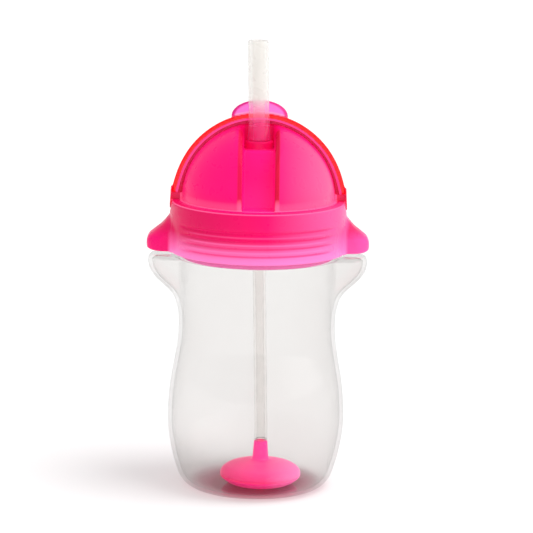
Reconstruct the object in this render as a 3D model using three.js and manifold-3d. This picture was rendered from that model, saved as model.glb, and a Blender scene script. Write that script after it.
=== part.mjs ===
// Sippy cup with a screw-on lid, a flip cover and a weighted straw.
// Millimetres. +Z up, origin at the centre of the flat base, the front faces -Y.
import * as THREE from 'three';
import { mergeVertices } from 'three/addons/utils/BufferGeometryUtils.js';
import Module from 'manifold-3d';

const wasm = await Module();
wasm.setup();

const TURN = 2 * Math.PI;
const DEG = Math.PI / 180;
const SEGMENTS = 36;

// ---- shared sizes ---------------------------------------------------------
const STRAW_Y = -5; // the straw stands a little in front of the cup's axis
const PIVOT_Z = 124.4; // hinge line of the flip cover
const LEDGE_Z = 123.4; // top of the collar
const COLLAR_BOTTOM = 102.3;
const DECK_UNDER = 121.4;
const DOME_Z = 123.9;
const DOME_R = 32.4;
const DOME_WALL = 1.8;
const NECK_TOP = 119.8;
const THREAD_PITCH = 6;
// The straw hangs plumb while the cup's axis leans: sideways drift per mm away from the lid.
const DRIFT = { slope: -0.024, above: 150.2, below: 126, foot: 26 };

// ---- helpers --------------------------------------------------------------
function geometry(points, faces) {
  const g = new THREE.BufferGeometry();
  g.setAttribute('position', new THREE.Float32BufferAttribute(points.flat(), 3));
  g.setIndex(faces.flat());
  return g;
}

function toManifold(source) {
  const bare = new THREE.BufferGeometry();
  bare.setAttribute('position', source.getAttribute('position').clone());
  if (source.index) bare.setIndex(source.index.clone());
  const g = mergeVertices(bare, 1e-4);
  const triVerts = [];
  const index = g.index.array;
  for (let i = 0; i < index.length; i += 3) {
    const [a, b, c] = [index[i], index[i + 1], index[i + 2]];
    if (a !== b && b !== c && c !== a) triVerts.push(a, b, c);
  }
  const mesh = new wasm.Mesh({
    numProp: 3,
    vertProperties: new Float32Array(g.getAttribute('position').array),
    triVerts: new Uint32Array(triVerts),
  });
  return new wasm.Manifold(mesh);
}

function fromManifold(solid) {
  const mesh = solid.getMesh();
  const g = new THREE.BufferGeometry();
  g.setAttribute('position', new THREE.BufferAttribute(new Float32Array(mesh.vertProperties), 3));
  g.setIndex(Array.from(mesh.triVerts));
  return g;
}

const join = (...solids) => solids.reduce((a, b) => a.add(b));
const cut = (solid, ...tools) => tools.reduce((a, b) => a.subtract(b), solid);

// Skin over a closed row of rings with equally many points, capped at both ends unless it closes.
function skin(rings, closes = false) {
  const n = rings[0].length;
  const points = rings.flat();
  const faces = [];
  const last = closes ? rings.length : rings.length - 1;
  for (let i = 0; i < last; i++) {
    const a = i * n;
    const b = ((i + 1) % rings.length) * n;
    for (let k = 0; k < n; k++) {
      const m = (k + 1) % n;
      faces.push([a + k, a + m, b + m], [a + k, b + m, b + k]);
    }
  }
  if (!closes) {
    for (const [ring, flip] of [[rings[0], true], [rings.at(-1), false]]) {
      const flat = flatten(ring.map((p) => new THREE.Vector3(...p)));
      const base = flip ? 0 : (rings.length - 1) * n;
      for (const [a, b, c] of THREE.ShapeUtils.triangulateShape(flat, [])) {
        faces.push(flip ? [base + a, base + c, base + b] : [base + a, base + b, base + c]);
      }
    }
  }
  const g = geometry(points, faces);
  return outward(g);
}

// A planar ring of 3-D points in its own 2-D frame, keeping its turning direction.
function flatten(ring) {
  const normal = new THREE.Vector3();
  ring.forEach((p, i) => normal.add(p.clone().cross(ring[(i + 1) % ring.length])));
  normal.normalize();
  const side = Math.abs(normal.z) < 0.9 ? new THREE.Vector3(0, 0, 1) : new THREE.Vector3(1, 0, 0);
  const u = side.clone().cross(normal).normalize();
  const v = normal.clone().cross(u);
  return ring.map((p) => new THREE.Vector2(p.dot(u), p.dot(v)));
}

function volume(g) {
  const p = g.getAttribute('position');
  const at = (i) => new THREE.Vector3().fromBufferAttribute(p, g.index.array[i]);
  let total = 0;
  for (let i = 0; i < g.index.count; i += 3) total += at(i).dot(at(i + 1).cross(at(i + 2)));
  return total;
}

function outward(g) {
  if (volume(g) < 0) {
    const index = g.index.array;
    for (let i = 0; i < index.length; i += 3) [index[i], index[i + 1]] = [index[i + 1], index[i]];
  }
  return g;
}

// Solid of revolution about the vertical axis, from [radius, height] pairs.
function lathe(profile, y = 0, segments = SEGMENTS) {
  const g = new THREE.LatheGeometry(profile.map(([r, z]) => new THREE.Vector2(r, z)), segments);
  g.rotateX(Math.PI / 2);
  g.translate(0, y, 0);
  return toManifold(outward(mergeVertices(g.deleteAttribute('normal').deleteAttribute('uv'), 1e-4)));
}

// Sideways place of the straw and its tube at a height.
function drift(z) {
  if (z > DRIFT.above) return DRIFT.slope * (z - DRIFT.above);
  return DRIFT.slope * Math.min(0, Math.max(z, DRIFT.foot) - DRIFT.below);
}

// The same body carried sideways by the drift, level by level.
function drifted(solid) {
  return solid.warp((v) => { v[0] += drift(v[2]); });
}

// Upright tube or rod between two heights.
function rod(r, z0, z1, y = 0, segments = 24) {
  return lathe([[0, z0], [r, z0], [r, z1], [0, z1]], y, segments);
}

// Rod along the hinge line of the flip cover.
function across(r, x0, x1, segments = 24) {
  const g = new THREE.CylinderGeometry(r, r, Math.abs(x1 - x0), segments);
  g.rotateZ(Math.PI / 2);
  g.translate((x0 + x1) / 2, 0, PIVOT_Z);
  return toManifold(g);
}

// Prism along X over an outline of [y, z] pairs.
function prismX(outline, halfWidth) {
  return toManifold(skin([-halfWidth, halfWidth].map((x) => outline.map(([y, z]) => [x, y, z]))));
}

// Rib that follows the wall at radius r from one angle to another; a negative height points inward.
function rib({ r, z, rise = 0, width, height, from, to, steps, root = 0.6 }) {
  const rings = [];
  for (let i = 0; i <= steps; i++) {
    const t = i / steps;
    const angle = from + (to - from) * t;
    const fade = Math.min(1, Math.min(t, 1 - t) * 8 + 0.12);
    const at = z + rise * t;
    const tip = r + height * fade;
    const foot = r - Math.sign(height) * root;
    const ring = [[foot, -width / 2], [tip, -width / 5], [tip, width / 5], [foot, width / 2]];
    rings.push(ring.map(([q, h]) => [q * Math.cos(angle), q * Math.sin(angle), at + h]));
  }
  return toManifold(skin(rings));
}

// Ear on the side of a wall: level by level [height, tip distance, half depth], side is +1 or -1.
function ear(levels, side, from = 26) {
  const around = 8;
  const rings = levels.map(([z, tip, depth]) => {
    const ring = [];
    for (let k = 0; k <= around; k++) {
      const a = (k / around - 0.5) * Math.PI;
      const x = from + (tip - from) * Math.cos(a) ** 0.5;
      ring.push([side * x, depth * Math.sign(Math.sin(a)) * Math.abs(Math.sin(a)) ** 0.85, z]);
    }
    return ring;
  });
  return toManifold(skin(rings));
}

const inset = (levels, wall) => levels.map(([z, tip, depth]) => [z, tip - wall, depth - wall]);

// ---- cup ------------------------------------------------------------------
const CUP_WALL = 1.7;
const CUP_PROFILE = [
  [25.5, 0], [28.8, 0.75], [32, 3.7], [34.3, 9.4], [36.2, 17], [37.5, 25.5], [37.6, 35],
  [36.7, 45], [34.8, 56], [33.5, 65.5], [33.5, 74.5], [34.4, 88], [34.7, 100.2],
];
const CUP_EAR = [
  [73, 31, 5], [77.5, 34, 6.5], [81.5, 35.2, 7.6], [84.8, 37.3, 8.1], [88.3, 41.1, 8.5],
  [91.5, 44.1, 8.7], [95.2, 46.1, 8.8], [98.6, 46.6, 8.8], [100.1, 45.4, 7.9],
];
const NECK_R = 34.2;
const MOUTH_R = 33;

function cup() {
  const shoulder = [[36.1, 100.4], [36.6, 100.9], [36.6, 101.6], [36.2, 102], [NECK_R, 102]];
  const outer = lathe([[0, 0], ...CUP_PROFILE, ...shoulder, [NECK_R, NECK_TOP], [0, NECK_TOP]]);
  const bowl = CUP_PROFILE.slice(3).map(([r, z]) => [r - CUP_WALL, z]);
  const inner = lathe([
    [0, 1.3], [24, 1.35], [28.5, 2.2], [31, 4.9], ...bowl, [MOUTH_R, 102], [MOUTH_R, NECK_TOP + 1],
    [0, NECK_TOP + 1],
  ]);
  const thread = rib({
    r: NECK_R, z: 107.2, rise: THREAD_PITCH, width: 2, height: 1.2, from: 0, to: TURN, steps: 26,
  });
  const groove = lathe([[18, -1], [21, -1], [21, 0.4], [18, 0.4], [18, -1]]);
  const ears = [1, -1].map((side) => ear(CUP_EAR, side));
  const pockets = [1, -1].map((side) => ear(inset(CUP_EAR.slice(1, 8), CUP_WALL), side, 20));
  return cut(join(outer, thread, ...ears), inner, groove, ...pockets);
}

// ---- lid ------------------------------------------------------------------
const COLLAR_R = 35.9; // inside of the collar
const SKIRT = { inner: 31.2, outer: 32.6, bottom: 99.6 };
const LID_EAR = [
  [102.4, 45.8, 8.8], [103.6, 47, 9.3], [106.5, 47.1, 9.4], [108.4, 46.4, 9.4],
  [110.4, 44.1, 9.3], [113, 40.8, 9.1], [116.2, 38.3, 8.9], [119, 36.4, 8.4],
];
const CHANNEL = { half: 6.4, wall: 1.9, shelf: 146.5, back: 2.6, lip: -11.5, foot: [-24.5, 124] };
const BOSS = { r: 5.85, top: 149.8, bore: 4.4 };
const PEG = { r: 2, end: 37.4, recess: 5.1, recessFrom: 36.5 };
const GRIP_HEIGHTS = [113.8, 110.55, 107.4];

function dome() {
  const arc = (r, from) => Array.from({ length: 10 }, (_, i) => {
    const a = (90 - (from * i) / 9) * DEG;
    return [r * Math.cos(a), DOME_Z + r * Math.sin(a)];
  });
  const outer = lathe([...arc(DOME_R, 90), [DOME_R, 122], [0, 122]]);
  const inner = lathe([...arc(DOME_R - DOME_WALL, 90), [DOME_R - DOME_WALL, 121], [0, 121]]);
  const { half, wall, shelf, back, lip, foot } = CHANNEL;
  const slope = (foot[0] - lip) / (foot[1] - shelf);
  const low = 122.2;
  const footY = lip + slope * (low - shelf);
  const block = prismX([
    [back + wall, 170], [back + wall, shelf - wall], [lip + 1, shelf - wall],
    [lip + 1 + slope * (low - shelf + wall), low], [-45, low], [-45, 170],
  ], half + wall);
  const channel = prismX([
    [back, 170], [back, shelf], [lip, shelf], [footY + slope * 1.2, low + 1.2], [-45, low + 1.2],
    [-45, 170],
  ], half);
  const shell = cut(outer, inner);
  return cut(join(shell, block.intersect(outer)), channel);
}

function lid() {
  const collar = lathe([
    [COLLAR_R, COLLAR_BOTTOM], [37.5, COLLAR_BOTTOM], [37.8, 102.8], [37.6, 113], [37.5, 117],
    [37.1, 121.8], [36.9, 122.9], [36.4, LEDGE_Z], [33.9, LEDGE_Z], [33.6, 124.1], [31.5, 124.1],
    [SKIRT.inner, 122], [SKIRT.inner, SKIRT.bottom], [SKIRT.outer, SKIRT.bottom],
    [SKIRT.outer, DECK_UNDER], [COLLAR_R, DECK_UNDER], [COLLAR_R, COLLAR_BOTTOM],
  ]);
  const thread = rib({
    r: COLLAR_R, z: 104.2, rise: THREAD_PITCH, width: 2, height: -1.2, from: 0, to: TURN, steps: 26,
  });
  const ribs = [];
  for (const middle of [-90, 90]) {
    for (const z of GRIP_HEIGHTS) {
      const from = (middle - 52) * DEG;
      const to = (middle + 52) * DEG;
      ribs.push(rib({ r: 37.55, z, width: 1.9, height: 0.55, from, to, steps: 7, root: 0.8 }));
    }
  }
  const bore = rod(COLLAR_R, 90, DECK_UNDER);
  const ears = [1, -1].map((side) => cut(ear(LID_EAR, side), bore, rod(36.5, 90, 125)));
  const pocket = (side) => {
    const levels = [[101, 45.3, 7.6], ...inset(LID_EAR.slice(2, 7), 1.8)];
    return cut(ear(levels, side, 30), rod(37.75, 90, 125, 0, SEGMENTS));
  };
  const boss = rod(BOSS.r, CHANNEL.shelf - 1, BOSS.top, STRAW_Y);
  const socket = lathe([
    [0, 139], [7.2, 139], [7.2, CHANNEL.shelf - 1.4], [0, CHANNEL.shelf - 1.4],
  ], STRAW_Y, 24);
  const pegs = [1, -1].map((side) => across(PEG.r, side * 32.4, side * PEG.end));
  const recesses = [1, -1].map((side) => across(PEG.recess, side * PEG.recessFrom, side * 50));
  const bores = [
    rod(BOSS.bore, 130, 155, STRAW_Y), // the straw passes through the boss
    rod(6.2, 130, 143.6, STRAW_Y), // seat of the mouthpiece's flange
  ];
  const body = join(collar, thread, dome(), boss, socket, ...ribs, ...ears);
  return join(cut(body, ...bores, pocket(1), pocket(-1), ...recesses), ...pegs);
}

function sealRing() {
  return lathe([[33.1, 120.1], [35.5, 120.1], [35.5, 121.1], [33.1, 121.1], [33.1, 120.1]]);
}

// ---- flip cover -----------------------------------------------------------
const COVER = {
  wall: 1.5, rim: 2.7, lean: 1.7, span: 88.4, plate: [36.8, 37.6], plateR: 4.6, hole: 2.3,
};
const COVER_PROFILE = [
  [0, 36], [6, 35.5], [12, 33.95], [18, 31.2], [24, 26.85], [28.6, 22], [32, 16.8],
  [34.2, 12.1], [35.5, 8.3], [36.5, 5.4], [37.1, 4], [37.5, 3],
];
const TAB = { half: 12, root: 34.7, height: 5.3, thick: 1.5 };

function coverSection(wall) {
  const half = COVER_PROFILE.slice(1);
  const outer = [...half.map(([x, r]) => [-x, r]).reverse(), COVER_PROFILE[0], ...half];
  const normals = outer.map((p, i) => {
    const a = outer[Math.max(0, i - 1)];
    const b = outer[Math.min(outer.length - 1, i + 1)];
    const length = Math.hypot(b[0] - a[0], b[1] - a[1]);
    return [(b[1] - a[1]) / length, -(b[0] - a[0]) / length];
  });
  const inner = outer.map(([x, r], i) => {
    const q = [x + normals[i][0] * wall, r + normals[i][1] * wall];
    const limit = COVER.plate[0];
    return [Math.max(-limit, Math.min(limit, q[0])), Math.max(2.4, q[1])];
  });
  return [...outer, ...inner.reverse()];
}

function flipCover() {
  const steps = 12;
  const rings = Array.from({ length: steps + 1 }, (_, i) => {
    const back = (COVER.lean + (COVER.span * i) / steps) * DEG;
    const section = coverSection(i ? COVER.wall : COVER.rim);
    return section.map(([x, r]) => [x, r * Math.sin(back), PIVOT_Z + r * Math.cos(back)]);
  });
  const shell = toManifold(skin(rings));
  const plates = [across(COVER.plateR, ...COVER.plate),
    across(COVER.plateR, -COVER.plate[1], -COVER.plate[0])];
  const outline = Array.from({ length: 13 }, (_, i) => {
    const a = (i / 12) * Math.PI;
    return [TAB.half * Math.cos(a), TAB.root + (TAB.height + 1.6) * Math.sin(a) ** 0.8];
  });
  const lean = COVER.lean * DEG;
  const tab = toManifold(skin([0, TAB.thick].map((depth) => outline.map(([x, r]) => [
    x, r * Math.sin(lean) + depth * Math.cos(lean),
    PIVOT_Z + r * Math.cos(lean) - depth * Math.sin(lean),
  ]))));
  return cut(join(shell, ...plates, tab), across(COVER.hole, -60, 60));
}

// ---- straw ----------------------------------------------------------------
const STRAW = { r: 4.35, bore: 2.5, top: 191.8, foot: 149.8, bend: [153.05, 159.15], gap: 0.3 };
const TUBE = { r: 2.75, bore: 1.75 };
const TUBE_ENDS = { top: 131.6, swing: 126, lower: 26, bottom: 20.6 };

// Closed tube profile from its outer [radius, height] pairs and its bore.
function tube(outer, bore, y = STRAW_Y, segments = 20) {
  const low = outer[0][1];
  const high = outer.at(-1)[1];
  return lathe([...outer, [bore, high], [bore, low], outer[0]], y, segments);
}

function strawBase() {
  return tube([
    [4.1, 132], [4.1, 140.2], [5.9, 141], [5.9, 143.3], [4.1, 143.6], [4.1, 149.95], [5, 150.3],
    [4.9, 151], [4.6, STRAW.bend[0] - STRAW.gap / 2],
  ], STRAW.bore);
}

function strawNeck() {
  return tube([
    [4.55, STRAW.bend[0] + STRAW.gap / 2], [4.4, 155.6], [STRAW.r, STRAW.bend[1] - STRAW.gap / 2],
  ], STRAW.bore);
}

function strawTip() {
  const { r, bore, top, bend, gap } = STRAW;
  return tube([[r, bend[1] + gap / 2], [r, top - 0.9], [r - 0.25, top - 0.3], [r - 0.8, top]], bore);
}

function tubePiece(from, to) {
  return tube([[TUBE.r, from], [TUBE.r, to]], TUBE.bore, STRAW_Y, 16);
}

// ---- weight ---------------------------------------------------------------
function weightTop() {
  return lathe([
    [1.75, 20.2], [2.8, 20.2], [3.1, 15.5], [3.5, 12.2], [5.2, 11.6], [8, 11.1], [12, 10.1],
    [14.5, 9.2], [16.5, 7.8], [17.2, 6.5], [17.25, 5.6], [16, 5.55], [14.9, 7.1], [11.5, 8.6],
    [8, 9.5], [4.6, 9.9], [1.75, 10], [1.75, 20.2],
  ], STRAW_Y, 24);
}

function weightBottom() {
  return lathe([
    [1.75, 1.7], [10.8, 1.7], [13.2, 2.1], [15.1, 3.1], [16.6, 4.3], [17.25, 5.3], [16, 5.3],
    [15, 4.3], [13.2, 3.3], [9, 2.95], [3, 2.95], [3, 9.4], [1.75, 9.4], [1.75, 1.7],
  ], STRAW_Y, 24);
}

function weightSlug() {
  return lathe([
    [3.4, 3.3], [11, 3.45], [13.2, 4.2], [14.3, 5], [14.3, 6], [13.2, 7.3], [8, 8.9], [3.4, 9.4],
    [3.4, 3.3],
  ], STRAW_Y, 24);
}

// ---- assembly -------------------------------------------------------------
const LOOKS = {
  clear: { color: 0xe9eef0, roughness: 0.08, transparent: true, opacity: 0.3 },
  pink: { color: 0xff1489, roughness: 0.25 },
  cover: { color: 0xff1a5c, roughness: 0.15, transparent: true, opacity: 0.8 },
  silicone: { color: 0xece9e2, roughness: 0.55 },
  steel: { color: 0xb8bcc0, roughness: 0.3, metalness: 1 },
};

const PIECES = [
  ['cup', cup(), 'clear'],
  ['lid', lid(), 'pink'],
  ['lid_seal', sealRing(), 'silicone'],
  ['flip_cover', flipCover(), 'cover'],
  ['straw_base', strawBase(), 'silicone'],
  ['straw_neck', drifted(strawNeck()), 'silicone'],
  ['straw_tip', drifted(strawTip()), 'silicone'],
  ['tube_upper', tubePiece(TUBE_ENDS.swing + 0.2, TUBE_ENDS.top), 'silicone'],
  ['tube_main', drifted(tubePiece(TUBE_ENDS.lower + 0.2, TUBE_ENDS.swing - 0.2)), 'silicone'],
  ['tube_lower', drifted(tubePiece(TUBE_ENDS.bottom, TUBE_ENDS.lower - 0.2)), 'silicone'],
  ['weight_top', drifted(weightTop()), 'pink'],
  ['weight_bottom', drifted(weightBottom()), 'pink'],
  ['weight_slug', drifted(weightSlug()), 'steel'],
];

const cupAssembly = new THREE.Group();
for (const [name, solid, look] of PIECES) {
  const mesh = new THREE.Mesh(fromManifold(solid), new THREE.MeshStandardMaterial(LOOKS[look]));
  mesh.name = name;
  cupAssembly.add(mesh);
}

export default cupAssembly;
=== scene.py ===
"""Sippy cup: fine surfaces, materials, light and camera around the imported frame.

Shapes are worked out in millimetres in the frame's own axes and scaled to metres when meshed.
"""
import math

import bpy
import numpy as np
from mathutils import Matrix, Vector


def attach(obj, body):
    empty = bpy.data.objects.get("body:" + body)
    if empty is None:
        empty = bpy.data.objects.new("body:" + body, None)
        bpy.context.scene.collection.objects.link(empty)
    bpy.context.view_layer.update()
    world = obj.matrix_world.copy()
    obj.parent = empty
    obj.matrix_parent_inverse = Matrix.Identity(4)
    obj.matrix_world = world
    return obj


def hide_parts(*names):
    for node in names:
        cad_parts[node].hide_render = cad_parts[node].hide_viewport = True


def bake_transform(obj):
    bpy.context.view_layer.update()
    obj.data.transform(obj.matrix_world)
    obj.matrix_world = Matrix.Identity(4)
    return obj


MM = 0.001

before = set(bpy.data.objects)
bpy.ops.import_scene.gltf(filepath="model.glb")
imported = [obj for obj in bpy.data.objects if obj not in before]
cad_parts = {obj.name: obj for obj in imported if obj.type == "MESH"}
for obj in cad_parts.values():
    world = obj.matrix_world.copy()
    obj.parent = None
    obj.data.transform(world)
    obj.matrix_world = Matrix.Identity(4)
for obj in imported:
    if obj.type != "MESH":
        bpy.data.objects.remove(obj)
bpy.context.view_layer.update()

# ---- sizes shared by several pieces (mm) ----------------------------------
STRAW_Y = -5.0
PIVOT_Z = 124.4
LEDGE_Z = 123.4
DECK_UNDER = 121.4
COLLAR_BOTTOM = 102.3
COLLAR_INNER = 35.9
DOME_Z = 123.9
DOME_R = 32.4
DOME_WALL = 1.8
PITCH = 6.0                           # of the lid's and the neck's thread
THREAD_DEPTH = 1.15
THREAD_CREST, THREAD_EDGE = 0.35, 1.0  # half heights where the ridge starts and ends its fall
THREAD_FADE = 0.25                    # radians over which each end fades out
EAR_ROOT = 20.0                       # the ears are boxes that start this far from the axis

# The straw and tube hang plumb while the cup's axis leans.
LEAN_SLOPE = 0.024
BOSS_TOP = 150.2                      # the straw leans above this height
TUBE_LEAN_TOP, TUBE_LEAN_LOW = 126.0, 26.0

# Heights passed for each soft piece's bend, which place_soft doesn't use.
NECK_BEND = (BOSS_TOP, 155.9)
TIP_BEND = (156.3, 162.0)
MID_NECK = 156.1                      # where the two halves of the mouthpiece meet
TUBE_R, TUBE_BORE = 2.75, 1.75

# ---- settings of the mesh makers ------------------------------------------
SHARP_ANGLE = math.radians(42)
STRAIGHT = 0.12                       # a corner that turns less than this (radians) is left alone
SETTLE_TURNS = 6                      # times each vertex is moved onto the surface
RELAX_TURNS, RELAX_SHARE = (1, 2, 3), 0.5
FLATTEST = 0.05                       # least squared gradient that a step divides by
HALVINGS = 36


# ---- small maths ----------------------------------------------------------
def drift(z):
    """Sideways place of the straw and tube at each height."""
    above = np.maximum(z - BOSS_TOP, 0.0)
    below = np.minimum(np.maximum(z, TUBE_LEAN_LOW) - TUBE_LEAN_TOP, 0.0)
    return -LEAN_SLOPE * (above + below)


def smin(a, b, k):
    """Smaller of two distances, rounded where they meet."""
    h = np.maximum(k - np.abs(a - b), 0.0) / k
    return np.minimum(a, b) - h * h * k * 0.25


def smax(a, b, k):
    """Larger of two distances, rounded where they meet."""
    return -smin(-a, -b, k)


def smoothstep(low, high, value):
    t = np.clip((value - low) / (high - low), 0.0, 1.0)
    return t * t * (3.0 - 2.0 * t)


def curve(points, count=400):
    """Smooth function through [position, value] pairs, without overshoot (monotone cubic)."""
    p = np.array(points, float)
    x, y = p[:, 0], p[:, 1]
    h = np.diff(x)
    slope = np.diff(y) / h
    m = np.zeros(len(x))
    m[0], m[-1] = slope[0], slope[-1]
    for i in range(1, len(x) - 1):
        if slope[i - 1] * slope[i] > 0:
            w1, w2 = 2 * h[i] + h[i - 1], h[i] + 2 * h[i - 1]
            m[i] = (w1 + w2) / (w1 / slope[i - 1] + w2 / slope[i])
    t = np.linspace(x[0], x[-1], count)
    k = np.clip(np.searchsorted(x, t, side="right") - 1, 0, len(h) - 1)
    s = (t - x[k]) / h[k]
    values = ((1 + 2 * s) * (1 - s) ** 2 * y[k] + s * (1 - s) ** 2 * h[k] * m[k]
              + s * s * (3 - 2 * s) * y[k + 1] + s * s * (s - 1) * h[k] * m[k + 1])
    return lambda at: np.interp(at, t, values)


def spline(points, step=0.5):
    """Points along a Catmull-Rom curve through an outline of [a, b] pairs, about step apart."""
    p = np.array(points, float)
    p = np.vstack([2 * p[0] - p[1], p, 2 * p[-1] - p[-2]])
    out = []
    for i in range(1, len(p) - 2):
        a, b, c, d = p[i - 1], p[i], p[i + 1], p[i + 2]
        t0, t1, t2, t3 = 0.0, *np.cumsum([np.linalg.norm(v) ** 0.5 for v in (b - a, c - b, d - c)])
        n = max(2, int(round(np.linalg.norm(c - b) / step)))
        for t in np.linspace(t1, t2, n, endpoint=False):
            a1 = (t1 - t) / (t1 - t0) * a + (t - t0) / (t1 - t0) * b
            a2 = (t2 - t) / (t2 - t1) * b + (t - t1) / (t2 - t1) * c
            a3 = (t3 - t) / (t3 - t2) * c + (t - t2) / (t3 - t2) * d
            b1 = (t2 - t) / (t2 - t0) * a1 + (t - t0) / (t2 - t0) * a2
            b2 = (t3 - t) / (t3 - t1) * a2 + (t - t1) / (t3 - t1) * a3
            out.append((t2 - t) / (t2 - t1) * b1 + (t - t1) / (t2 - t1) * b2)
    out.append(p[-2])
    return np.array(out)


def rounded(outline, radius=0.35, steps=4):
    """Closed outline with its corners rounded."""
    p = np.array(outline, float)
    out = []
    for i in range(len(p)):
        a, b, c = p[i - 1], p[i], p[(i + 1) % len(p)]
        u, v = a - b, c - b
        lu, lv = np.linalg.norm(u), np.linalg.norm(v)
        turn = math.acos(np.clip(np.dot(u, v) / (lu * lv), -1, 1))
        reach = min(radius / max(math.tan(turn / 2), 1e-3), 0.45 * lu, 0.45 * lv)
        if math.pi - turn < STRAIGHT:
            out.append(b)
            continue
        s, e = b + u / lu * reach, b + v / lv * reach
        for t in np.linspace(0, 1, steps + 1):
            out.append((1 - t) ** 2 * s + 2 * t * (1 - t) * b + t * t * e)
    return np.array(out)


# ---- mesh makers ----------------------------------------------------------
def make_object(name, points, faces, normals=None):
    """Object from points in mm; without its own normals it's smooth up to SHARP_ANGLE."""
    mesh = bpy.data.meshes.new(name)
    mesh.from_pydata((np.asarray(points, float) * MM).tolist(), [], [list(f) for f in faces])
    mesh.validate()
    mesh.shade_smooth()
    if normals is None:
        mesh.set_sharp_from_angle(angle=SHARP_ANGLE)
    elif len(mesh.vertices) == len(normals):
        mesh.normals_split_custom_set_from_vertices(np.asarray(normals, float).tolist())
    mesh.update()
    obj = bpy.data.objects.new(name, mesh)
    bpy.context.scene.collection.objects.link(obj)
    return obj


def face_outward(points, faces):
    """Quads or triangles, all turned so that they enclose a positive volume."""
    p = np.asarray(points, float)
    f = np.asarray(faces)
    a, b, c = p[f[:, 0]], p[f[:, 1]], p[f[:, 2]]
    total = np.einsum("ij,ij->i", a, np.cross(b, c)).sum()
    if f.shape[1] == 4:
        d = p[f[:, 3]]
        total += np.einsum("ij,ij->i", a, np.cross(c, d)).sum()
    return f if total > 0 else f[:, ::-1]


def revolve(name, outline, y=0.0, segments=128):
    """Closed [radius, height] outline turned round the vertical line at y.

    Off the cup's axis it's a part of the straw, so it gets the drift.
    """
    p = np.array(outline, float)
    n = len(p)
    angle = np.arange(segments) * (2 * math.pi / segments)
    x = np.cos(angle)[:, None] * p[:, 0] + (drift(p[:, 1]) if y else 0.0)
    yy = np.sin(angle)[:, None] * p[:, 0] + y
    z = np.broadcast_to(p[:, 1], x.shape)
    points = np.stack([x, yy, z], -1).reshape(-1, 3)
    i, k = np.meshgrid(np.arange(segments), np.arange(n), indexing="ij")
    j, m = (i + 1) % segments, (k + 1) % n
    faces = np.stack([i * n + k, j * n + k, j * n + m, i * n + m], -1).reshape(-1, 4)
    return make_object(name, points, face_outward(points, faces))


def polar_grid(name, radius, height, angles):
    """Closed body of rings, with radius and height as (ring, angle).

    The first and the last ring close on the axis.
    """
    rings, n = radius.shape
    x, y = radius * np.cos(angles), radius * np.sin(angles)
    grid = np.stack([x, y, height], -1).reshape(-1, 3)
    points = np.vstack([grid, [[0, 0, height[0].mean()], [0, 0, height[-1].mean()]]])
    i, k = np.meshgrid(np.arange(rings - 1), np.arange(n), indexing="ij")
    m = (k + 1) % n
    quads = np.stack([i * n + k, i * n + m, (i + 1) * n + m, (i + 1) * n + k], -1).reshape(-1, 4)
    quads = face_outward(points, quads)
    first, last = len(grid), len(grid) + 1
    forward = quads[0][0] == 0
    caps = []
    for k in range(n):
        m = (k + 1) % n
        end = (rings - 1) * n
        low, high = [first, m, k], [last, end + k, end + m]
        caps += [low, high] if forward else [low[::-1], high[::-1]]
    return make_object(name, points, quads.tolist() + caps)


def gradient(field, p, h=0.01):
    """Slope of a field at each point, from differences h to each side."""
    g = np.empty_like(p)
    for axis in range(3):
        d = np.zeros(3)
        d[axis] = h
        a, b = p + d, p - d
        g[:, axis] = (field(a[:, 0], a[:, 1], a[:, 2]) - field(b[:, 0], b[:, 1], b[:, 2])) / (2 * h)
    return g


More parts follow.
